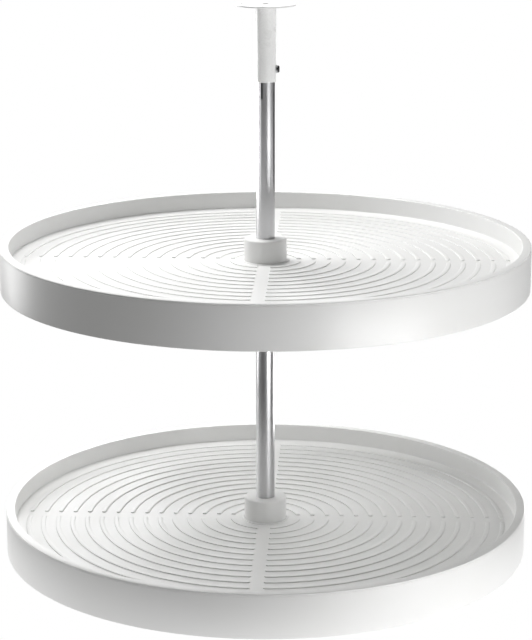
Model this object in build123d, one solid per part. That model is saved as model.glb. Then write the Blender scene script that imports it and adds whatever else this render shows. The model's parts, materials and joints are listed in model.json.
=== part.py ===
from build123d import *
import os

# Two-tier corner cabinet carousel. Millimetres, +Z up.
# Origin: axis of the post, on the underside of the base plate (cabinet floor).
# The front of the unit faces -Y.

# ---- overall stack ----
total_height = 760.0          # base plate underside to top flange face
lower_rim_bottom = 20.0       # lower tray rim above the cabinet floor
shelf_spacing = 364.0         # rim to rim
upper_rim_bottom = lower_rim_bottom + shelf_spacing

# ---- tray ----
tray_radius = 355.0
rim_height = 58.5
ledge_width = 12.0
ledge_outer_round = 3.6
ledge_inner_round = 1.7
wall = 2.5
floor_depth = 27.3            # crown of the ledge down to the floor
floor_top = rim_height - floor_depth
floor_bottom = floor_top - wall
margin_start = 330.5          # floor starts to climb towards the wall here
margin_rise = 1.8
wall_foot_round = 3.0
band_count = 15               # raised anti-slip bands
band_first = 42.5             # inner radius of the first band
band_pitch = 20.0
band_width = 6.0
band_height = 1.0
band_slope = 0.5              # run of each sloping side
spoke_width = 17.0            # plain strips between the quadrants
pattern_turn = -2.5           # the pattern sits slightly turned, degrees
hub_hole_radius = 28.8
lip_radius = 32.0             # low lip round the hub hole
lip_height = 1.2
rib_count = 24
rib_thickness = 2.0
rib_bottom = 17.0             # ribs hang down to this height above the rim bottom
rib_inner = 52.0
ring_rib_radii = (52.0, 120.0, 195.0, 270.0)
floor_edge = 339.0            # the tray's floor and its rim are drawn as two solids that meet here
boss_radius = 4.6
boss_pilot_depth = 7.0
web_height = 30.0             # webs across the channel inside the rim
ledge_thickening = 0.8        # the ledge is this much thicker than the walls

# ---- hub ----
hub_radius = 28.5
hub_height = 31.3             # above the tray floor
hub_wall = 2.3
hub_top = floor_top + hub_height
hub_cap = 3.0
hub_core_radius = 19.0
hub_bottom = 20.0             # bearing seat of the core
hub_flange_radius = 47.0
hub_flange_bottom = 19.0
hub_flange_top = 22.0
hub_web_count = 8
hub_web_thickness = 2.0
hub_web_lift = 2.0            # webs start this far above the bearing seat
hub_edge_round = 1.8
hub_mouth_chamfer = 0.8
hub_bore_relief = 0.9
hub_land = 6.0                # bearing land at each end of the bore
hub_screw_ring = 39.5
hub_screw_count = 4
hub_screw_radius = 2.0
hub_screw_length = 9.2
hub_screw_head_radius = 4.0
hub_screw_head_height = 2.4

# ---- post ----
post_radius = 12.5
post_wall = 1.2
post_bottom = 2.0
post_top = 717.0
slot_bottom = 635.0
slot_width = 2.8
slot_turn = -113.0            # direction of the front slot, degrees from +X
running_clearance = 0.06      # radial, on the post

# ---- thrust bearing, heights above the tray rim bottom ----
race_thickness = 1.3
race_inner = 13.0
race_outer = 18.6
groove_depth = 0.4
ball_radius = 2.0
ball_ring = 15.8
ball_count = 16
ball_gap = 0.05
upper_race_bottom = hub_bottom - race_thickness
ball_height = upper_race_bottom + groove_depth - ball_gap - ball_radius
lower_race_top = ball_height - ball_radius - ball_gap + groove_depth
cage_inner = 13.4
cage_outer = 18.3
cage_thickness = 1.8

# ---- clamp collar ----
collar_radius = 22.5
collar_top = lower_race_top - race_thickness
collar_height = 14.0
collar_bottom = collar_top - collar_height
collar_screw_radius = 3.0
thread_clearance = 0.05

# ---- base and top fittings ----
flange_radius = 40.0
flange_thickness = 2.0
flange_hole_ring = 32.0
flange_hole_radius = 2.5
flange_hole_turn = -8.0
flange_centre_hole = 5.0
sleeve_radius = 14.0
sleeve_inner = post_radius + 0.08
sleeve_bottom = 657.4
socket_top = 19.4
socket_screw_height = 11.0
small_screw_radius = 2.5
lock_screw_height = 674.0
lock_nut_radius = 5.6
lock_nut_barrel = 4.0
lock_nut_face = 15.2          # distance of the nut face from the post axis
lock_head_radius = 4.75
lock_head_height = 3.0
head_gap = 0.35
tip_gap = 0.3                 # screw tips stop this far from the post

# ---- building allowances ----
overlap = 0.5                 # joined solids run this far into each other
past = 1.0                    # cutters run this far past a face
tap_start = 5.0               # radial holes run from here outwards
tap_end = 30.0
outwards = (Align.MIN, Align.CENTER, Align.MIN)   # a box that starts at the axis and stands up


def ring(outer, inner, bottom, top):
    """Plain ring about the post axis."""
    disc = Pos(0, 0, bottom) * extrude(Circle(outer), top - bottom)
    hole = Pos(0, 0, bottom - past) * extrude(Circle(inner), top - bottom + 2 * past)
    return disc - hole


def turned(points):
    """Solid of revolution from a closed (radius, height) outline."""
    outline = Plane.XZ * make_face(Polyline(*points, close=True))
    return revolve(outline, Axis.Z)


def radial_rod(radius, start, end, height, turn=0.0):
    """Cylinder pointing outwards from the axis at the given height."""
    rod = Plane.YZ.offset(start) * extrude(Circle(radius), end - start)
    return Rot(0, 0, turn) * Pos(0, 0, height) * rod


def tray_shell():
    """Rim, ledge, walls and floor in one turned section."""
    inner = tray_radius - ledge_width
    foot = floor_top + margin_rise
    under_ledge = rim_height - wall - ledge_thickening
    section = make_face(Polyline(
        (hub_hole_radius, floor_bottom),
        (hub_hole_radius, floor_top + lip_height),
        (lip_radius - lip_height, floor_top + lip_height),
        (lip_radius, floor_top),
        (margin_start, floor_top),
        (inner, foot),
        (inner, rim_height),
        (tray_radius, rim_height),
        (tray_radius, 0),
        (tray_radius - wall, 0),
        (tray_radius - wall, under_ledge),
        (inner + wall, under_ledge),
        (inner + wall, floor_bottom),
        close=True,
    )).face()
    section = rounded(section, tray_radius, rim_height, ledge_outer_round)
    section = rounded(section, inner, rim_height, ledge_inner_round)
    section = rounded(section, inner, foot, wall_foot_round)
    return revolve(Plane.XZ * section, Axis.Z)


def rounded(section, radius, height, amount):
    """Round the corner of a section closest to a radius and height."""
    corner = section.vertices().sort_by_distance((radius, height, 0))[0]
    return section.fillet_2d(amount, [corner])


def raised_bands():
    """Concentric anti-slip bands, cut through by the four plain spokes."""
    reach = tray_radius * 2
    strip = Box(reach, spoke_width, 20) + Box(spoke_width, reach, 20)
    cross = Pos(0, 0, floor_top) * Rot(0, 0, pattern_turn) * strip
    bands = []
    for index in range(band_count):
        inner = band_first + index * band_pitch
        outer = inner + band_width
        whole = turned([
            (inner, floor_top - overlap),
            (inner, floor_top),
            (inner + band_slope, floor_top + band_height),
            (outer - band_slope, floor_top + band_height),
            (outer, floor_top),
            (outer, floor_top - overlap),
        ])
        bands.extend((whole - cross).solids())
    return bands


def tray_ribs():
    """Radial and ring ribs under the floor and webs across the rim channel."""
    ribs = []
    rib_top = floor_bottom + overlap
    inner_wall = tray_radius - ledge_width
    rib_length = inner_wall + past - rib_inner
    web_bottom = rim_height - wall - overlap - web_height
    for index in range(rib_count):
        turn = Rot(0, 0, 360 * index / rib_count)
        rib = Box(rib_length, rib_thickness, rib_top - rib_bottom, align=outwards)
        ribs.append(turn * Pos(rib_inner, 0, rib_bottom) * rib)
        web = Box(ledge_width - wall, rib_thickness, web_height, align=outwards)
        ribs.append(turn * Pos(inner_wall + wall / 2, 0, web_bottom) * web)
    for radius in ring_rib_radii:
        ribs.append(ring(radius + rib_thickness / 2, radius - rib_thickness / 2, rib_bottom, rib_top))
    ribs.append(ring(inner_wall + wall, inner_wall, rib_bottom, rib_top))
    return ribs


def screw_places():
    """Angles of the screws that hold the hub to the tray."""
    return [45 + 360 * index / hub_screw_count for index in range(hub_screw_count)]


def tray():
    body = tray_shell()
    bosses = []
    pilots = []
    for turn in screw_places():
        place = Rot(0, 0, turn) * Pos(hub_screw_ring, 0, 0)
        boss = extrude(Circle(boss_radius), floor_bottom + overlap - hub_flange_top)
        bosses.append(place * Pos(0, 0, hub_flange_top) * boss)
        pilot = extrude(Circle(hub_screw_radius), boss_pilot_depth + past)
        pilots.append(place * Pos(0, 0, hub_flange_top - past) * pilot)
    body = body.fuse(*raised_bands(), *tray_ribs(), *bosses)
    return body.cut(*pilots)


def tray_halves():
    """The tray parted into its floor and its rim, which touch and share one body."""
    whole = tray()
    middle = Pos(0, 0, -past) * extrude(Circle(floor_edge), rim_height + 2 * past)
    return whole & middle, whole - middle


def hub():
    """Moulded hub: outer barrel, bearing core, webs between them, bolting flange."""
    bore = post_radius + running_clearance
    barrel = turned([
        (hub_radius - hub_wall, hub_flange_bottom),
        (hub_flange_radius, hub_flange_bottom),
        (hub_flange_radius, hub_flange_top),
        (hub_radius, hub_flange_top),
        (hub_radius, hub_top),
        (bore, hub_top),
        (bore, hub_top - hub_cap),
        (hub_radius - hub_wall, hub_top - hub_cap),
    ])
    edge = barrel.edges().filter_by(GeomType.CIRCLE).filter_by(
        lambda e: abs(e.radius - hub_radius) < 0.01 and e.center().Z > hub_top - 0.1)
    barrel = fillet(edge, hub_edge_round)
    inside_top = hub_top - hub_cap + overlap
    core = ring(hub_core_radius, bore, hub_bottom, inside_top)
    relief = ring(bore + hub_bore_relief, bore - past, hub_bottom + hub_land, hub_top - hub_land)
    webs = []
    web_bottom = hub_bottom + hub_web_lift
    web_length = hub_radius - hub_wall - hub_core_radius + 2 * past
    for index in range(hub_web_count):
        web = Box(web_length, hub_web_thickness, inside_top - web_bottom, align=outwards)
        turn = Rot(0, 0, 360 * (index + 0.5) / hub_web_count)
        webs.append(turn * Pos(hub_core_radius - past, 0, web_bottom) * web)
    holes = []
    hole_height = hub_flange_top - hub_flange_bottom + 2 * past
    for turn in screw_places():
        hole = Pos(0, 0, hub_flange_bottom - past) * extrude(Circle(hub_screw_radius + 0.2), hole_height)
        holes.append(Rot(0, 0, turn) * Pos(hub_screw_ring, 0, 0) * hole)
    body = barrel.fuse(core, *webs).cut(relief, *holes)
    mouth = body.edges().filter_by(GeomType.CIRCLE).filter_by(
        lambda e: abs(e.radius - bore) < 0.01 and e.center().Z > hub_top - 0.1)
    return chamfer(mouth, hub_mouth_chamfer)


def hub_screws():
    """Four pan head screws from below, drawn as separate solids of one group."""
    screws = []
    for turn in screw_places():
        head_bottom = hub_flange_bottom - hub_screw_head_height
        head = Pos(0, 0, head_bottom) * extrude(Circle(hub_screw_head_radius), hub_screw_head_height)
        head = fillet(head.edges().group_by(Axis.Z)[0], 1.4)
        shank_bottom = hub_flange_bottom - 0.2
        shank = Pos(0, 0, shank_bottom) * extrude(Circle(hub_screw_radius), hub_screw_length + 0.2)
        cross = Pos(0, 0, head_bottom - 0.4) * (Box(4.2, 0.9, 2.4) + Box(0.9, 4.2, 2.4))
        screws.append(Rot(0, 0, turn) * Pos(hub_screw_ring, 0, 0) * ((head + shank) - cross))
    return Compound(children=[part.solid() for part in screws])


def bearing_race(bottom, groove_up):
    """Pressed steel washer with a ball groove on one face."""
    washer = ring(race_outer, race_inner, bottom, bottom + race_thickness)
    groove_radius = ball_radius + 0.15
    face = bottom + race_thickness if groove_up else bottom
    lift = groove_radius - groove_depth
    centre = face + lift if groove_up else face - lift
    circle = Plane.XZ * Pos(ball_ring, centre) * Circle(groove_radius)
    return washer - revolve(circle, Axis.Z)


def ball_places():
    return [360 * index / ball_count for index in range(ball_count)]


def balls():
    solids = []
    for turn in ball_places():
        solids.append(Rot(0, 0, turn) * Pos(ball_ring, 0, ball_height) * Sphere(ball_radius))
    return Compound(children=[part.solid() for part in solids])


def ball_cage():
    """Flat nylon ring with one pocket per ball."""
    half = cage_thickness / 2
    plate = ring(cage_outer, cage_inner, ball_height - half, ball_height + half)
    pockets = []
    for turn in ball_places():
        pocket = Pos(0, 0, ball_height - 3) * extrude(Circle(ball_radius), 6)
        pockets.append(Rot(0, 0, turn) * Pos(ball_ring, 0, 0) * pocket)
    return plate.cut(*pockets)


def collar():
    """Clamp collar that carries the tray, with one tapped hole."""
    body = ring(collar_radius, post_radius + running_clearance, collar_bottom, collar_top)
    body = chamfer(body.edges().filter_by(GeomType.CIRCLE).filter_by(
        lambda e: abs(e.radius - collar_radius) < 0.01), 1.0)
    tap = radial_rod(collar_screw_radius, tap_start, tap_end, collar_bottom + collar_height / 2)
    return body - tap


def set_screw(radius, start, end, height, socket):
    """Headless screw pointing at the post, hexagon socket in its outer end."""
    rod = radial_rod(radius, start, end, height)
    tips = rod.edges().filter_by(GeomType.CIRCLE).group_by(Axis.X)
    rod = chamfer(tips[0], 0.8)
    key = Plane.YZ.offset(end - 3) * extrude(RegularPolygon(socket, 6), 4)
    return rod - Pos(0, 0, height) * key


def mounting_flange(bottom, turn):
    """Round plate with four screw holes and a centre hole."""
    plate = Pos(0, 0, bottom) * extrude(Circle(flange_radius), flange_thickness)
    plate = fillet(plate.edges(), 0.5)
    depth = flange_thickness + 2 * past
    holes = []
    for index in range(4):
        hole = Pos(0, 0, bottom - past) * extrude(Circle(flange_hole_radius), depth)
        holes.append(Rot(0, 0, turn + 90 * index) * Pos(flange_hole_ring, 0, 0) * hole)
    centre = Pos(0, 0, bottom - past) * extrude(Circle(flange_centre_hole), depth)
    return plate.cut(centre, *holes)


def post():
    """Steel tube with two slots running up to its open top end."""
    tube = ring(post_radius, post_radius - post_wall, post_bottom, post_top)
    length = post_top - slot_bottom + past
    reach = post_radius + past - tap_start
    end_height = slot_bottom + slot_width / 2
    cutters = []
    for turn in (slot_turn, slot_turn + 180):
        straight = Pos(tap_start, 0, end_height) * Box(reach, slot_width, length, align=outwards)
        end = radial_rod(slot_width / 2, tap_start, tap_start + reach, end_height)
        cutters.append(Rot(0, 0, turn) * (straight + end))
    return tube.cut(*cutters)


def base_socket():
    """Short tube welded to the base plate; the post stands in it."""
    tube = ring(sleeve_radius, sleeve_inner, flange_thickness, socket_top)
    return tube - radial_rod(small_screw_radius, tap_start, tap_end, socket_screw_height, -90)


def base_screw():
    rod = set_screw(small_screw_radius - thread_clearance, post_radius + tip_gap, 18.6, 0, 1.45)
    return Pos(0, 0, socket_screw_height) * Rot(0, 0, -90) * rod


def top_sleeve():
    """Tube that slides over the post top to reach the cabinet ceiling."""
    tube = ring(sleeve_radius, sleeve_inner, sleeve_bottom, total_height - flange_thickness)
    rim = tube.edges().filter_by(GeomType.CIRCLE).filter_by(
        lambda e: abs(e.radius - sleeve_radius) < 0.01 and e.center().Z < sleeve_bottom + 0.1)
    tube = chamfer(rim, 0.3)
    return tube - radial_rod(lock_nut_barrel, tap_start, tap_end, lock_screw_height)


def lock_nut():
    """Rivet nut set in the sleeve wall: flange outside, threaded barrel in the wall."""
    inside = post_radius + tip_gap
    low, high = lock_screw_height - 20, lock_screw_height + 20
    barrel = radial_rod(lock_nut_barrel, inside, sleeve_radius, lock_screw_height)
    face = radial_rod(lock_nut_radius, sleeve_radius - 0.6, lock_nut_face, lock_screw_height)
    face = chamfer(face.edges().group_by(Axis.X)[-1], 0.3)
    body = face - ring(sleeve_radius, past, low, high)
    body = body + (barrel - ring(inside, past, low, high))
    return body - radial_rod(small_screw_radius, tap_start, tap_end, lock_screw_height)


def lock_screw():
    """Button head screw that presses on the post."""
    head_start = lock_nut_face + head_gap
    tip = post_radius + tip_gap + thread_clearance
    shank = radial_rod(small_screw_radius - thread_clearance, tip, head_start + 0.3, 0)
    seat = Pos(head_start, 0, 0) * Rot(0, 90, 0)
    head = seat * extrude(Circle(lock_head_radius), lock_head_height)
    head = fillet(head.edges().group_by(Axis.X)[-1], 2.2)
    key = seat * Pos(0, 0, lock_head_height - 1.8) * extrude(RegularPolygon(1.75, 6), 3)
    return Pos(0, 0, lock_screw_height) * (shank + head - key)


def shelf_parts():
    """Every piece of one shelf, with the underside of its rim at height zero."""
    floor, rim = tray_halves()
    middle = collar_bottom + collar_height / 2
    screw = set_screw(collar_screw_radius - thread_clearance, post_radius + tip_gap, 21.5, middle, 1.75)
    return {
        "tray_floor": floor,
        "tray_rim": rim,
        "hub": hub(),
        "hub_screws": hub_screws(),
        "top_race": bearing_race(upper_race_bottom, False),
        "balls": balls(),
        "cage": ball_cage(),
        "bottom_race": bearing_race(lower_race_top - race_thickness, True),
        "collar": collar(),
        "collar_screw": screw,
    }


def all_parts():
    pieces = {
        "base_plate": mounting_flange(0, flange_hole_turn),
        "base_socket": base_socket(),
        "base_screw": base_screw(),
        "post": post(),
        "top_sleeve": top_sleeve(),
        "top_flange": mounting_flange(total_height - flange_thickness, flange_hole_turn),
        "lock_nut": lock_nut(),
        "lock_screw": lock_screw(),
    }
    shelf = shelf_parts()
    for prefix, rim_bottom in (("lower", lower_rim_bottom), ("upper", upper_rim_bottom)):
        for name, shape in shelf.items():
            pieces[f"{prefix}_{name}"] = Pos(0, 0, rim_bottom) * shape
    return pieces


os.makedirs("parts", exist_ok=True)
for name, shape in all_parts().items():
    export_step(shape, f"parts/{name}.step")
    box = shape.bounding_box()
    print(name, [round(v, 2) for v in box.min], [round(v, 2) for v in box.max])
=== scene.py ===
import json
import math

import bmesh
import bpy
from mathutils import Matrix, Vector


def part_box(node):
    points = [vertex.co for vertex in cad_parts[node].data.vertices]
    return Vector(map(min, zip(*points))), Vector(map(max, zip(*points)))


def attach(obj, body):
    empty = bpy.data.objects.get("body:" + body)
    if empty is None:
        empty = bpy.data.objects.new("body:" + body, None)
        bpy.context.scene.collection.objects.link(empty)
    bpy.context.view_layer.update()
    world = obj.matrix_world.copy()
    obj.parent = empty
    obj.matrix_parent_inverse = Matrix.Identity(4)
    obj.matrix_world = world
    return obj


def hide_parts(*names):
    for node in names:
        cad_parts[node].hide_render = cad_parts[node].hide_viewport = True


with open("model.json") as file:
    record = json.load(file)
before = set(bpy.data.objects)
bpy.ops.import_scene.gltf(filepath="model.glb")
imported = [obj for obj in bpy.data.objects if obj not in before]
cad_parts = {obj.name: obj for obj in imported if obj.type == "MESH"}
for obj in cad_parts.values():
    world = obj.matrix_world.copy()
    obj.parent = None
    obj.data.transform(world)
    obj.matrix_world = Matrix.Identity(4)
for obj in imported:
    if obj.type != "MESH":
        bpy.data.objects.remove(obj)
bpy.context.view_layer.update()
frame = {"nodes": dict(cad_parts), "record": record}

mm = 0.001
fullTurn = 2 * math.pi
shelves = ("lower", "upper")
upAxis = Vector((0, 0, 1))
centre = Vector((0, 0, 0))
weldDistance = 0.01 * mm
sharpAngle = math.radians(32)
print("frame loaded:", len(frame["nodes"]), "pieces from CAD")


def roundCorner(bm, vert, amount, segments):
    bmesh.ops.bevel(bm, geom=[vert], affect="VERTICES", offset=amount, offset_type="OFFSET",
                    segments=segments, profile=0.5, material=-1, clamp_overlap=True)


def roundEdges(bm, edges, amount, segments):
    bmesh.ops.bevel(bm, geom=edges, affect="EDGES", offset=amount, offset_type="OFFSET",
                    segments=segments, profile=0.5, material=-1, clamp_overlap=True)


def turnSection(corners, steps, segments=5):
    # a solid of revolution; each corner of the section is radius, height, rounding
    bm = bmesh.new()
    verts = [bm.verts.new((radius, 0, height)) for radius, height, rounding in corners]
    bm.faces.new(verts)
    for vert, corner in zip(verts, corners):
        if corner[2] > 0:
            roundCorner(bm, vert, corner[2], segments)
    bmesh.ops.delete(bm, geom=bm.faces[:], context="FACES_ONLY")
    bmesh.ops.spin(bm, geom=bm.verts[:] + bm.edges[:], cent=centre, axis=upAxis, dvec=centre,
                   angle=fullTurn, steps=steps, use_merge=True, use_duplicate=False)
    return bm


def addBlock(bm, low, high, turn):
    # a plain bar between two corners, turned about the post axis
    size = Vector(high) - Vector(low)
    middle = (Vector(high) + Vector(low)) / 2
    place = Matrix.Rotation(turn, 4, "Z") @ Matrix.Translation(middle) @ Matrix.Diagonal((*size, 1))
    bmesh.ops.create_cube(bm, size=1, matrix=place)


def mergeInto(target, source, lift=0.0):
    # moves one bmesh into another
    bmesh.ops.translate(source, verts=source.verts[:], vec=(0, 0, lift))
    spare = bpy.data.meshes.new("spare")
    source.to_mesh(spare)
    source.free()
    target.from_mesh(spare)
    bpy.data.meshes.remove(spare)


def finishMesh(name, bm):
    bmesh.ops.remove_doubles(bm, verts=bm.verts[:], dist=weldDistance)
    bmesh.ops.recalc_face_normals(bm, faces=bm.faces[:])
    mesh = bpy.data.meshes.new(name)
    bm.to_mesh(mesh)
    bm.free()
    mesh.shade_smooth()
    mesh.set_sharp_from_angle(angle=sharpAngle)
    return mesh


def addPiece(name, mesh, body, slotName, material, *nodes):
    piece = bpy.data.objects.new(name, mesh)
    bpy.context.scene.collection.objects.link(piece)
    mesh.materials.append(material)
    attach(piece, body)
    if nodes:
        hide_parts(*nodes)
    return piece


def addNode(tree, kind, **values):
    node = tree.nodes.new(kind)
    for name, value in values.items():
        setattr(node, name, value)
    return node


def newGroup(name, inputs, outputs):
    group = bpy.data.node_groups.new(name, "ShaderNodeTree")
    for label, value in inputs.items():
        socket = group.interface.new_socket(name=label, in_out="INPUT", socket_type="NodeSocketFloat")
        socket.default_value = value
    for label in outputs:
        group.interface.new_socket(name=label, in_out="OUTPUT", socket_type="NodeSocketFloat")
    return group, addNode(group, "NodeGroupInput"), addNode(group, "NodeGroupOutput")


def scaledNoise(tree, scaleSocket, detail, roughness=0.5, stretch=(1, 1, 1)):
    # noise on object coordinates; stretch squeezes the pattern along an axis
    place = addNode(tree, "ShaderNodeTexCoord")
    mapping = addNode(tree, "ShaderNodeMapping")
    mapping.inputs["Scale"].default_value = stretch
    noise = addNode(tree, "ShaderNodeTexNoise")
    noise.inputs["Detail"].default_value = detail
    noise.inputs["Roughness"].default_value = roughness
    tree.links.new(place.outputs["Object"], mapping.inputs["Vector"])
    tree.links.new(mapping.outputs["Vector"], noise.inputs["Vector"])
    tree.links.new(scaleSocket, noise.inputs["Scale"])
    return noise.outputs["Fac"]


def setOrLink(tree, socket, value):
    if isinstance(value, (int, float)):
        socket.default_value = value
    else:
        tree.links.new(value, socket)


def mathNode(tree, operation, first, second):
    node = addNode(tree, "ShaderNodeMath", operation=operation)
    setOrLink(tree, node.inputs[0], first)
    setOrLink(tree, node.inputs[1], second)
    return node.outputs[0]


def remap(tree, value, low, high, newLow, newHigh):
    node = addNode(tree, "ShaderNodeMapRange", clamp=True)
    for label, setting in (("From Min", low), ("From Max", high), ("To Min", newLow), ("To Max", newHigh)):
        setOrLink(tree, node.inputs[label], setting)
    tree.links.new(value, node.inputs["Value"])
    return node.outputs["Result"]


# how each shared effect breaks up: detail and roughness of its noise, and where it starts and is full
effectLook = {
    "grainDetail": 2.0,
    "waveDetail": 1.0,
    "patchDetail": 5.0,
    "patchRoughness": 0.6,
    "breakDetail": 4.0,
    "breakRoughness": 0.65,
    "breakRange": (0.4, 0.62),
    "fineLines": (2600, 2600, 16),
    "fineDetail": 3.0,
    "coarseLines": (700, 700, 5),
    "coarseDetail": 2.0,
    "coarseShare": 0.7,
    "dustDetail": 6.0,
    "dustRoughness": 0.7,
    "dustRange": (0.5, 0.75),
    "dustFacing": (0.6, 1.0),
}


def makeFineTexture(look):
    # the pebbled skin of a mould or a powder coat, over a slow waviness
    inputs = {"Grain Scale": 900.0, "Grain Share": 0.6, "Wave Scale": 14.0, "Wave Share": 0.4}
    group, source, sink = newGroup("fineTexture", inputs, ["Height"])
    grain = scaledNoise(group, source.outputs["Grain Scale"], look["grainDetail"])
    wave = scaledNoise(group, source.outputs["Wave Scale"], look["waveDetail"])
    grainPart = mathNode(group, "MULTIPLY", grain, source.outputs["Grain Share"])
    wavePart = mathNode(group, "MULTIPLY", wave, source.outputs["Wave Share"])
    group.links.new(mathNode(group, "ADD", grainPart, wavePart), sink.inputs["Height"])
    return group


def makeHandling(look):
    # soft patches where a surface has been touched and wiped
    group, source, sink = newGroup("handling", {"Scale": 9.0, "Contrast": 0.2}, ["Mask"])
    patches = scaledNoise(group, source.outputs["Scale"], look["patchDetail"], look["patchRoughness"])
    low = mathNode(group, "SUBTRACT", 0.5, source.outputs["Contrast"])
    high = mathNode(group, "ADD", 0.5, source.outputs["Contrast"])
    group.links.new(remap(group, patches, low, high, 0.0, 1.0), sink.inputs["Mask"])
    return group


def makeEdgeWear(look):
    # bright worn corners, broken up by noise; a plain round surface stays below the start
    inputs = {"Start": 0.54, "Full": 0.62, "Break Scale": 240.0}
    group, source, sink = newGroup("edgeWear", inputs, ["Mask"])
    geometry = addNode(group, "ShaderNodeNewGeometry")
    corners = remap(group, geometry.outputs["Pointiness"], source.outputs["Start"],
                    source.outputs["Full"], 0.0, 1.0)
    breaks = scaledNoise(group, source.outputs["Break Scale"], look["breakDetail"], look["breakRoughness"])
    patchy = remap(group, breaks, *look["breakRange"], 0.0, 1.0)
    group.links.new(mathNode(group, "MULTIPLY", corners, patchy), sink.inputs["Mask"])
    return group


def makeDrawnLines(look):
    # hair lines left along a drawn tube
    group, source, sink = newGroup("drawnLines", {"Line Scale": 1.0}, ["Height"])
    scale = source.outputs["Line Scale"]
    fine = scaledNoise(group, scale, look["fineDetail"], stretch=look["fineLines"])
    coarse = scaledNoise(group, scale, look["coarseDetail"], stretch=look["coarseLines"])
    total = mathNode(group, "ADD", fine, mathNode(group, "MULTIPLY", coarse, look["coarseShare"]))
    group.links.new(total, sink.inputs["Height"])
    return group


def makeSettledDust(look):
    # dust on surfaces that face up
    group, source, sink = newGroup("settledDust", {"Scale": 60.0, "Amount": 0.3}, ["Mask"])
    geometry = addNode(group, "ShaderNodeNewGeometry")
    split = addNode(group, "ShaderNodeSeparateXYZ")
    group.links.new(geometry.outputs["Normal"], split.inputs["Vector"])
    facing = remap(group, split.outputs["Z"], *look["dustFacing"], 0.0, 1.0)
    specks = scaledNoise(group, source.outputs["Scale"], look["dustDetail"], look["dustRoughness"])
    spots = remap(group, specks, *look["dustRange"], 0.0, 1.0)
    total = mathNode(group, "MULTIPLY", facing, spots)
    group.links.new(mathNode(group, "MULTIPLY", total, source.outputs["Amount"]), sink.inputs["Mask"])
    return group


groups = {
    "texture": makeFineTexture(effectLook),
    "handling": makeHandling(effectLook),
    "wear": makeEdgeWear(effectLook),
    "lines": makeDrawnLines(effectLook),
    "dust": makeSettledDust(effectLook),
}


def placeGroup(tree, name, output, settings):
    node = addNode(tree, "ShaderNodeGroup", node_tree=groups[name])
    for label, value in settings.items():
        node.inputs[label].default_value = value
    return node.outputs[output]


def startMaterial(name, metallic, ior=1.5, coat=0.0, coatRoughness=0.1):
    material = bpy.data.materials.new(name)
    material.use_nodes = True
    tree = material.node_tree
    shader = tree.nodes["Principled BSDF"]
    shader.inputs["Metallic"].default_value = metallic
    shader.inputs["IOR"].default_value = ior
    shader.inputs["Coat Weight"].default_value = coat
    shader.inputs["Coat Roughness"].default_value = coatRoughness
    return material, tree, shader


# where the mix node keeps its colour sockets
mixFactor, mixFirst, mixSecond, mixResult = 0, 6, 7, 2


def blendColour(tree, mask, first, second):
    node = addNode(tree, "ShaderNodeMix", data_type="RGBA")
    for index, value in ((mixFirst, first), (mixSecond, second)):
        if isinstance(value, tuple):
            node.inputs[index].default_value = (*value, 1)
        else:
            tree.links.new(value, node.inputs[index])
    tree.links.new(mask, node.inputs[mixFactor])
    return node.outputs[mixResult]


def addBump(tree, shader, height, distance):
    bump = addNode(tree, "ShaderNodeBump")
    bump.inputs["Distance"].default_value = distance
    bump.inputs["Strength"].default_value = 1.0
    tree.links.new(height, bump.inputs["Height"])
    tree.links.new(bump.outputs["Normal"], shader.inputs["Normal"])


trayPlasticLook = {
    "ior": 1.49,
    "white": (0.86, 0.86, 0.855),
    "yellowed": (0.83, 0.83, 0.815),
    "dusty": (0.74, 0.735, 0.72),
    "gloss": (0.30, 0.42),
    "patches": {"Scale": 6.0, "Contrast": 0.25},
    "dust": {"Scale": 140.0, "Amount": 0.10},
    "texture": {"Grain Scale": 1100.0, "Grain Share": 0.35, "Wave Scale": 16.0, "Wave Share": 0.65},
    "relief": 0.06 * mm,
}
hubPlasticLook = {**trayPlasticLook, "gloss": (0.34, 0.46)}


def makePlastic(name, look):
    material, tree, shader = startMaterial(name, 0.0, look["ior"])
    patches = placeGroup(tree, "handling", "Mask", look["patches"])
    dust = placeGroup(tree, "dust", "Mask", look["dust"])
    tone = blendColour(tree, patches, look["white"], look["yellowed"])
    tree.links.new(blendColour(tree, dust, tone, look["dusty"]), shader.inputs["Base Color"])
    tree.links.new(remap(tree, patches, 0, 1, *look["gloss"]), shader.inputs["Roughness"])
    height = placeGroup(tree, "texture", "Height", look["texture"])
    addBump(tree, shader, height, look["relief"])
    return material


powderLook = {
    "ior": 1.5,
    "coat": 0.15,
    "coatRoughness": 0.2,
    "white": (0.84, 0.84, 0.835),
    "scuffed": (0.72, 0.72, 0.71),
    "gloss": (0.26, 0.34),
    "patches": {"Scale": 24.0, "Contrast": 0.2},
    "wear": {"Start": 0.56, "Full": 0.68, "Break Scale": 420.0},
    "texture": {"Grain Scale": 700.0, "Grain Share": 0.8, "Wave Scale": 60.0, "Wave Share": 0.3},
    "relief": 0.006 * mm,
}


def makePowderCoat(name, look):
    material, tree, shader = startMaterial(name, 0.0, look["ior"], look["coat"], look["coatRoughness"])
    patches = placeGroup(tree, "handling", "Mask", look["patches"])
    wear = placeGroup(tree, "wear", "Mask", look["wear"])
    tree.links.new(blendColour(tree, wear, look["white"], look["scuffed"]), shader.inputs["Base Color"])
    tree.links.new(remap(tree, patches, 0, 1, *look["gloss"]), shader.inputs["Roughness"])
    height = placeGroup(tree, "texture", "Height", look["texture"])
    addBump(tree, shader, height, look["relief"])
    return material


tubeLook = {
    "bright": (0.60, 0.60, 0.61),
    "dull": (0.56, 0.56, 0.57),
    "gloss": (0.27, 0.32),
    "patches": {"Scale": 18.0, "Contrast": 0.22},
    "lines": {"Line Scale": 1.0},
    "relief": 0.002 * mm,
}


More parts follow.
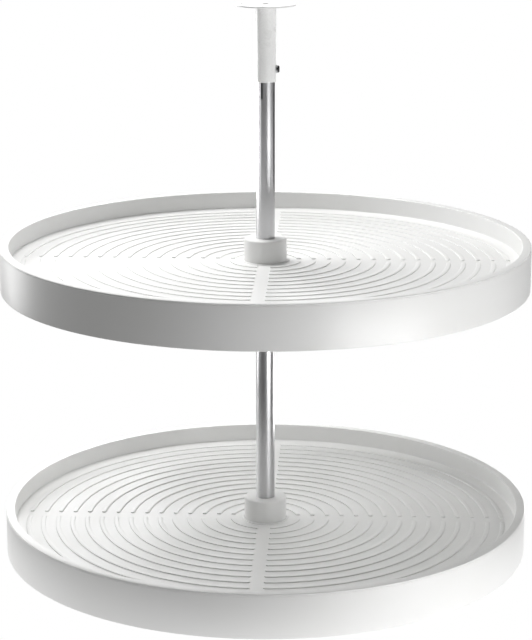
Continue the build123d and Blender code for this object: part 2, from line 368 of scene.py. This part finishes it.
def makeTubeSteel(name, look):
    material, tree, shader = startMaterial(name, 1.0)
    lines = placeGroup(tree, "lines", "Height", look["lines"])
    patches = placeGroup(tree, "handling", "Mask", look["patches"])
    tree.links.new(blendColour(tree, patches, look["bright"], look["dull"]), shader.inputs["Base Color"])
    tree.links.new(remap(tree, patches, 0, 1, *look["gloss"]), shader.inputs["Roughness"])
    addBump(tree, shader, lines, look["relief"])
    return material


smallMetalLook = {
    "darker": 0.8,
    "patches": {"Scale": 160.0, "Contrast": 0.18},
    "wear": {"Start": 0.55, "Full": 0.65, "Break Scale": 600.0},
    "texture": {"Grain Share": 0.7, "Wave Scale": 120.0, "Wave Share": 0.3},
}
blackLook = {
    **smallMetalLook,
    "colour": (0.05, 0.05, 0.052),
    "worn": (0.35, 0.34, 0.33),
    "gloss": (0.34, 0.5),
    "relief": 0.03 * mm,
    "grain": 1600.0,
}
zincLook = {
    **smallMetalLook,
    "colour": (0.58, 0.59, 0.61),
    "worn": (0.72, 0.72, 0.73),
    "gloss": (0.28, 0.42),
    "relief": 0.03 * mm,
    "grain": 900.0,
}
bearingLook = {
    **smallMetalLook,
    "colour": (0.66, 0.66, 0.67),
    "worn": (0.75, 0.75, 0.76),
    "gloss": (0.08, 0.16),
    "relief": 0.006 * mm,
    "grain": 1200.0,
}


def makeMetal(name, look):
    material, tree, shader = startMaterial(name, 1.0)
    patches = placeGroup(tree, "handling", "Mask", look["patches"])
    wear = placeGroup(tree, "wear", "Mask", look["wear"])
    darker = tuple(look["darker"] * part for part in look["colour"])
    tone = blendColour(tree, patches, look["colour"], darker)
    tree.links.new(blendColour(tree, wear, tone, look["worn"]), shader.inputs["Base Color"])
    tree.links.new(remap(tree, patches, 0, 1, *look["gloss"]), shader.inputs["Roughness"])
    height = placeGroup(tree, "texture", "Height", {**look["texture"], "Grain Scale": look["grain"]})
    addBump(tree, shader, height, look["relief"])
    return material


nylonLook = {
    "ior": 1.53,
    "clean": (0.80, 0.78, 0.70),
    "greasy": (0.72, 0.69, 0.60),
    "gloss": (0.4, 0.55),
    "patches": {"Scale": 200.0, "Contrast": 0.25},
    "texture": {"Grain Scale": 1500.0, "Grain Share": 0.8},
    "relief": 0.04 * mm,
}


def makeNylon(name, look):
    material, tree, shader = startMaterial(name, 0.0, look["ior"])
    patches = placeGroup(tree, "handling", "Mask", look["patches"])
    tree.links.new(blendColour(tree, patches, look["clean"], look["greasy"]), shader.inputs["Base Color"])
    tree.links.new(remap(tree, patches, 0, 1, *look["gloss"]), shader.inputs["Roughness"])
    height = placeGroup(tree, "texture", "Height", look["texture"])
    addBump(tree, shader, height, look["relief"])
    return material


materials = {
    "tray_plastic": makePlastic("trayPlastic", trayPlasticLook),
    "hub_plastic": makePlastic("hubPlastic", hubPlasticLook),
    "white_powder_coat": makePowderCoat("whitePowderCoat", powderLook),
    "post_steel": makeTubeSteel("postSteel", tubeLook),
    "black_steel": makeMetal("blackSteel", blackLook),
    "zinc_steel": makeMetal("zincSteel", zincLook),
    "bearing_steel": makeMetal("bearingSteel", bearingLook),
    "cage_nylon": makeNylon("cageNylon", nylonLook),
}
print("materials made:", len(materials))


trayLook = {
    "steps": 288,
    "wall": 2.5 * mm,
    "ledge": 12 * mm,
    "outerRound": 1.3 * mm,
    "grooveDrop": 1.7 * mm,
    "groove": 0.55 * mm,
    "grooveRound": 0.2 * mm,
    "innerRound": 1.0 * mm,
    "footRound": 1.0 * mm,
    "hemRound": 1.1 * mm,
    "channelRound": 1.0 * mm,
    "channelDrop": 0.8 * mm,
    "cornerRound": 0.6 * mm,
    "floorDepth": 27.3 * mm,
    "marginStart": 329.0 * mm,
    "marginRise": 3.0 * mm,
    "marginRound": 1.2 * mm,
    "hubHole": 28.8 * mm,
    "lipRadius": 32 * mm,
    "lipHeight": 1.2 * mm,
    "lipInnerRound": 0.4 * mm,
    "lipOuterRound": 0.9 * mm,
    "lipSlope": 0.3 * mm,
    "lipFootRound": 0.25 * mm,
}
trayBottom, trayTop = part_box("lower_tray_rim")
trayRadius = trayTop.x
rimHeight = trayTop.z - trayBottom.z
floorTop = rimHeight - trayLook["floorDepth"]
floorUnder = floorTop - trayLook["wall"]
innerRadius = trayRadius - trayLook["ledge"]


def buildTrayShell(look):
    # rim, ledge, walls and floor, standing on height zero
    wall = look["wall"]
    underLedge = rimHeight - wall - look["channelDrop"]
    lipTop = floorTop + look["lipHeight"]
    groove = look["groove"]
    grooveTop = rimHeight - look["grooveDrop"]
    corners = [
        (look["hubHole"], floorUnder, 0),
        (look["hubHole"], lipTop, look["lipInnerRound"]),
        (look["lipRadius"], lipTop, look["lipOuterRound"]),
        (look["lipRadius"] + look["lipSlope"], floorTop, look["lipFootRound"]),
        (look["marginStart"], floorTop, look["marginRound"]),
        (innerRadius, floorTop + look["marginRise"], look["footRound"]),
        (innerRadius, rimHeight, look["innerRound"]),
        (trayRadius, rimHeight, look["outerRound"]),
        (trayRadius, grooveTop, look["grooveRound"]),
        (trayRadius - groove, grooveTop - groove / 2, 0),
        (trayRadius - groove, grooveTop - groove * 1.5, 0),
        (trayRadius, grooveTop - groove * 2, look["grooveRound"]),
        (trayRadius, 0, look["hemRound"]),
        (trayRadius - wall, 0, look["hemRound"]),
        (trayRadius - wall, underLedge, look["channelRound"]),
        (innerRadius + wall, underLedge, look["channelRound"]),
        (innerRadius + wall, floorUnder, look["cornerRound"]),
    ]
    return turnSection(corners, look["steps"])


bandLook = {
    "count": 15,
    "first": 42.5 * mm,
    "pitch": 20 * mm,
    "width": 6 * mm,
    "height": 1.2 * mm,
    "softEdge": 0.6 * mm,
    "endRound": 2.8 * mm,
    "roundSteps": 3,
    "spoke": 17 * mm,
    "turn": math.radians(-2.5),
    "sink": 0.4 * mm,
    "stepAngle": math.radians(1.25),
    "fewestSteps": 4,
}


def addBand(bm, inner, look, quarter):
    # one raised band of a quarter: a flat strip, its ends cut square to the spoke, then raised
    outer = inner + look["width"]
    half = look["spoke"] / 2
    startIn, startOut = math.asin(half / inner), math.asin(half / outer)
    sweep = fullTurn / 4 - 2 * startOut
    steps = max(look["fewestSteps"], round(sweep / look["stepAngle"]))
    strip = bmesh.new()
    near = strip.verts.new((inner * math.cos(startOut), inner * math.sin(startOut), 0))
    far = strip.verts.new((outer * math.cos(startOut), outer * math.sin(startOut), 0))
    edge = strip.edges.new((near, far))
    made = bmesh.ops.spin(strip, geom=[near, far, edge], cent=centre, axis=upAxis, dvec=centre,
                          angle=sweep, steps=steps, use_merge=False, use_duplicate=False)
    farEnd = [item for item in made["geom_last"] if isinstance(item, bmesh.types.BMVert)]
    farEnd.sort(key=lambda vert: vert.co.length)
    skew = startIn - startOut
    bmesh.ops.rotate(strip, verts=[near], cent=centre, matrix=Matrix.Rotation(skew, 3, "Z"))
    bmesh.ops.rotate(strip, verts=[farEnd[0]], cent=centre, matrix=Matrix.Rotation(-skew, 3, "Z"))
    for corner in [near, far, *farEnd]:
        roundCorner(strip, corner, look["endRound"], look["roundSteps"])
    bmesh.ops.recalc_face_normals(strip, faces=strip.faces[:])
    raised = bmesh.ops.extrude_face_region(strip, geom=strip.faces[:], use_keep_orig=True)
    topVerts = [item for item in raised["geom"] if isinstance(item, bmesh.types.BMVert)]
    topFaces = {item for item in raised["geom"] if isinstance(item, bmesh.types.BMFace)}
    bmesh.ops.translate(strip, verts=topVerts, vec=(0, 0, look["height"] + look["sink"]))
    crest = [e for e in strip.edges if len([f for f in e.link_faces if f in topFaces]) == 1]
    roundEdges(strip, crest, look["softEdge"], look["roundSteps"])
    bmesh.ops.rotate(strip, verts=strip.verts[:], cent=centre,
                     matrix=Matrix.Rotation(quarter * fullTurn / 4 + look["turn"], 3, "Z"))
    mergeInto(bm, strip, floorTop - look["sink"])


def addBands(bm, look):
    for index in range(look["count"]):
        for quarter in range(4):
            addBand(bm, look["first"] + index * look["pitch"], look, quarter)


ribLook = {
    "count": 24,
    "thick": 2 * mm,
    "bottom": 17 * mm,
    "inner": 52 * mm,
    "rings": (52 * mm, 120 * mm, 195 * mm, 270 * mm),
    "ringSteps": 192,
    "ringRound": 0.3 * mm,
    "ringRoundSteps": 2,
    "overlap": 0.5 * mm,
    "webDrop": 30 * mm,
    "bosses": 4,
    "boss": 4.6 * mm,
    "bossRing": 39.5 * mm,
    "bossBottom": 22 * mm,
    "bossSteps": 32,
}


def addRibs(bm, look):
    half = look["thick"] / 2
    ceiling = floorUnder + look["overlap"]
    wall = trayLook["wall"]
    webTop = rimHeight - wall - look["overlap"]
    for index in range(look["count"]):
        turn = fullTurn * index / look["count"]
        addBlock(bm, (look["inner"], -half, look["bottom"]), (innerRadius + wall / 2, half, ceiling), turn)
        addBlock(bm, (innerRadius + wall / 2, -half, webTop - look["webDrop"]),
                 (trayRadius - wall / 2, half, webTop), turn)
    rings = [(radius - half, radius + half) for radius in look["rings"]]
    rings.append((innerRadius, innerRadius + wall))
    for inner, outer in rings:
        corners = [(inner, look["bottom"], look["ringRound"]), (outer, look["bottom"], look["ringRound"]),
                   (outer, ceiling, 0), (inner, ceiling, 0)]
        mergeInto(bm, turnSection(corners, look["ringSteps"], look["ringRoundSteps"]))
    bossHeight = ceiling - look["bossBottom"]
    middle = Matrix.Translation((look["bossRing"], 0, look["bossBottom"] + bossHeight / 2))
    for index in range(look["bosses"]):
        turn = Matrix.Rotation(fullTurn * (index + 0.5) / look["bosses"], 4, "Z")
        bmesh.ops.create_cone(bm, cap_ends=True, segments=look["bossSteps"], radius1=look["boss"],
                              radius2=look["boss"], depth=bossHeight, matrix=turn @ middle)


def buildTrays():
    for shelf in shelves:
        bm = buildTrayShell(trayLook)
        addBands(bm, bandLook)
        addRibs(bm, ribLook)
        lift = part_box(shelf + "_tray_rim")[0].z
        bmesh.ops.translate(bm, verts=bm.verts[:], vec=(0, 0, lift))
        mesh = finishMesh(shelf + "TrayMesh", bm)
        addPiece(shelf + "_tray_moulding", mesh, shelf + "_shelf", "tray_plastic",
                 materials["tray_plastic"], shelf + "_tray_floor", shelf + "_tray_rim")
        print(shelf, "tray:", len(mesh.polygons), "faces")


buildTrays()


hubLook = {
    "steps": 128,
    "radius": 28.5 * mm,
    "edgeRound": 2.2 * mm,
    "boreGap": 0.06 * mm,
    "boreBreak": 0.8 * mm,
    "boreFootRound": 0.3 * mm,
    "seatLift": 1 * mm,
    "core": 19 * mm,
    "coreFootRound": 0.4 * mm,
    "wall": 2.3 * mm,
    "cap": 3 * mm,
    "capRound": 0.8 * mm,
    "flange": 3 * mm,
    "flangeRound": 0.6 * mm,
    "webs": 8,
    "webHalf": 1 * mm,
    "webInset": 1 * mm,
    "webLift": 2 * mm,
    "webOverlap": 0.5 * mm,
}


def buildHubs(look):
    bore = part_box("post")[1].x + look["boreGap"]
    for shelf in shelves:
        low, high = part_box(shelf + "_hub")
        capUnder = high.z - look["cap"]
        seat = low.z + look["seatLift"]
        skirt = look["radius"] - look["wall"]
        flangeTop = low.z + look["flange"]
        corners = [
            (bore, seat, look["boreFootRound"]),
            (bore, high.z, look["boreBreak"]),
            (look["radius"], high.z, look["edgeRound"]),
            (look["radius"], flangeTop, 0),
            (high.x, flangeTop, look["flangeRound"]),
            (high.x, low.z, look["flangeRound"]),
            (skirt, low.z, look["coreFootRound"]),
            (skirt, capUnder, look["capRound"]),
            (look["core"], capUnder, look["capRound"]),
            (look["core"], seat, look["coreFootRound"]),
        ]
        bm = turnSection(corners, look["steps"])
        for index in range(look["webs"]):
            turn = fullTurn * (index + 0.5) / look["webs"]
            addBlock(bm, (look["core"] - look["webInset"], -look["webHalf"], seat + look["webLift"]),
                     (look["radius"] - look["webInset"], look["webHalf"], capUnder + look["webOverlap"]),
                     turn)
        mesh = finishMesh(shelf + "HubMesh", bm)
        addPiece(shelf + "_hub_moulding", mesh, shelf + "_shelf", "hub_plastic",
                 materials["hub_plastic"], shelf + "_hub")
    print("hubs done")


buildHubs(hubLook)


def dressCadPieces():
    slotOf = {row["node"]: row["material_slot"] for row in frame["record"]["subparts"]}
    for name, node in frame["nodes"].items():
        node.data.materials.clear()
        node.data.materials.append(materials[slotOf[name]])


dressCadPieces()
print("CAD pieces dressed")


studioLook = {
    "floorHalf": 8.0,
    "floorDrop": 0.5 * mm,
    "floorColour": (0, 0, 0, 1),
    "glowColour": (1, 1, 1, 1),
    "floorGlow": 0.2,
    "ambient": 0.0,
}


def whiteForCamera(tree, otherwise):
    # full white where the camera sees it, weaker as a light on the object
    path = addNode(tree, "ShaderNodeLightPath")
    return remap(tree, path.outputs["Is Camera Ray"], 0, 1, otherwise, 1.0)


def buildFloor(look):
    bm = bmesh.new()
    bmesh.ops.create_grid(bm, x_segments=1, y_segments=1, size=look["floorHalf"],
                          matrix=Matrix.Translation((0, 0, -look["floorDrop"])))
    mesh = bpy.data.meshes.new("floorMesh")
    bm.to_mesh(mesh)
    bm.free()
    floor = bpy.data.objects.new("studioFloor", mesh)
    bpy.context.scene.collection.objects.link(floor)
    material = bpy.data.materials.new("palePaper")
    material.use_nodes = True
    tree = material.node_tree
    shader = tree.nodes["Principled BSDF"]
    shader.inputs["Base Color"].default_value = look["floorColour"]
    shader.inputs["Roughness"].default_value = 1.0
    shader.inputs["Specular IOR Level"].default_value = 0.0
    shader.inputs["Emission Color"].default_value = look["glowColour"]
    tree.links.new(whiteForCamera(tree, look["floorGlow"]), shader.inputs["Emission Strength"])
    mesh.materials.append(material)
    floor.visible_glossy = False  # the metal reflects the dim room instead


def buildWorld(look):
    world = bpy.data.worlds.new("studioWorld")
    bpy.context.scene.world = world
    world.use_nodes = True
    tree = world.node_tree
    background = tree.nodes["Background"]
    background.inputs["Color"].default_value = look["glowColour"]
    tree.links.new(whiteForCamera(tree, look["ambient"]), background.inputs["Strength"])


# each soft box: compass turn from the front, distance from the post, height, height it aims at,
# size and watts
softBoxes = {
    "overhead": {"turn": -135, "distance": 0.7, "height": 2.3, "aim": 0.3,
                 "size": (0.8, 0.8), "power": 36},
    "highLeft": {"turn": -90, "distance": 1.99, "height": 1.97, "aim": 0.3,
                 "size": (1.6, 1.4), "power": 20},
    "highRight": {"turn": 45, "distance": 1.99, "height": 1.97, "aim": 0.3,
                  "size": (1.6, 1.4), "power": 7.6},
    "backRight": {"turn": 120, "distance": 1.5, "height": 1.2, "aim": 0.6,
                  "size": (1.0, 0.8), "power": 5},
    "rimLeft": {"turn": -160, "distance": 1.4, "height": 0.4, "aim": 0.4,
                "size": (0.5, 0.8), "power": 4.9},
    "sideLeft": {"turn": -120, "distance": 1.4, "height": 0.4, "aim": 0.4,
                 "size": (0.5, 0.8), "power": 6.6},
    "lowRight": {"turn": 40, "distance": 1.0, "height": 0.12, "aim": 0.12,
                 "size": (0.6, 0.2), "power": 2.8},
    "backdrop": {"turn": 180, "distance": 3.0, "height": 1.0, "aim": 1.0,
                 "size": (0.75, 1.6), "power": 6},
    "backdropLeft": {"turn": -150, "distance": 3.0, "height": 1.0, "aim": 1.0,
                     "size": (0.75, 1.6), "power": 8},
}

# lights the far side of the trays without a mirror image in the post
plainBoxes = {
    "rimRight": {"turn": 140, "distance": 1.4, "height": 0.4, "aim": 0.4,
                 "size": (0.5, 0.8), "power": 7.5},
}

# strips and cards seen only as reflections, in the pieces named here
mirrorPieces = ("post", "top_sleeve")
glossStrips = {
    "stripLeft": {"turn": -110, "distance": 1.6, "height": 0.25, "aim": 0.25,
                  "size": (0.56, 0.5), "power": 20},
    "stripFrontLeft": {"turn": -70, "distance": 1.6, "height": 0.25, "aim": 0.25,
                       "size": (0.56, 0.5), "power": 1.7},
    "stripBack": {"turn": 170, "distance": 1.6, "height": 0.25, "aim": 0.25,
                  "size": (0.56, 0.5), "power": 1.8},
}

# cards lying on the floor that throw light up: turn, distance, size, watts
floorCards = {
    "cardRight": {"turn": 45, "distance": 2.0, "size": (1.2, 1.4), "power": 38},
    "cardFront": {"turn": 0, "distance": 2.0, "size": (1.2, 1.4), "power": 4.9},
    "cardBack": {"turn": 135, "distance": 0.72, "size": (0.5, 0.5), "power": 5.1},
    "cardUnder": {"turn": 0, "distance": 0.0, "size": (0.9, 0.9), "power": 2.4},
}
glossCards = {
    "glossFront": {"turn": -30, "distance": 2.6, "size": (1.4, 2.0), "power": 7},
    "glossRight": {"turn": 90, "distance": 2.6, "size": (1.4, 2.0), "power": 12.5},
}
cardHeight = 4 * mm


def addLamp(name, size, power, place, aim):
    data = bpy.data.lights.new(name, "AREA")
    data.shape = "RECTANGLE"
    data.size, data.size_y = size
    data.energy = power
    lamp = bpy.data.objects.new(name, data)
    lamp.location = place
    lamp.rotation_euler = (aim - place).to_track_quat("-Z", "Y").to_euler()
    lamp.visible_camera = False
    bpy.context.scene.collection.objects.link(lamp)
    return lamp


def placeAround(turn, distance, height):
    angle = math.radians(turn)
    return Vector((math.sin(angle) * distance, -math.cos(angle) * distance, height))


def addBoxes(boxes):
    lamps = []
    for name, box in boxes.items():
        place = placeAround(box["turn"], box["distance"], box["height"])
        lamps.append(addLamp(name, box["size"], box["power"], place, Vector((0, 0, box["aim"]))))
    return lamps


def addCards(cards):
    lamps = []
    for name, card in cards.items():
        place = placeAround(card["turn"], card["distance"], cardHeight)
        lamps.append(addLamp(name, card["size"], card["power"], place, place + upAxis))
        lamps[-1].rotation_euler = (math.pi, 0, -math.radians(card["turn"]))
    return lamps


def buildLights():
    addBoxes(softBoxes)
    addCards(floorCards)
    for lamp in addBoxes(plainBoxes):
        lamp.visible_glossy = False
    mirrors = bpy.data.collections.new("mirrorPieces")
    for name in mirrorPieces:
        mirrors.objects.link(frame["nodes"][name])
    for lamp in addBoxes(glossStrips) + addCards(glossCards):
        lamp.visible_diffuse = False
        lamp.light_linking.receiver_collection = mirrors


cameraLook = {
    "distance": 2.788,
    "height": 1.0473,
    "tilt": 12.25,
    "lens": 119.45,
    "sensor": 36,
    "shift": (0.0008, -0.1238),
    "clip": (0.05, 60),
}


def buildCamera(look):
    data = bpy.data.cameras.new("studioCamera")
    data.lens = look["lens"]
    data.sensor_width = look["sensor"]
    data.shift_x, data.shift_y = look["shift"]
    data.clip_start, data.clip_end = look["clip"]
    camera = bpy.data.objects.new("studioCamera", data)
    camera.location = (0, -look["distance"], look["height"])
    camera.rotation_euler = (math.radians(90 - look["tilt"]), 0, 0)
    bpy.context.scene.collection.objects.link(camera)
    bpy.context.scene.camera = camera


buildFloor(studioLook)
buildWorld(studioLook)
buildLights()
buildCamera(cameraLook)
bpy.context.scene.view_settings.view_transform = "Standard"
print("studio built")
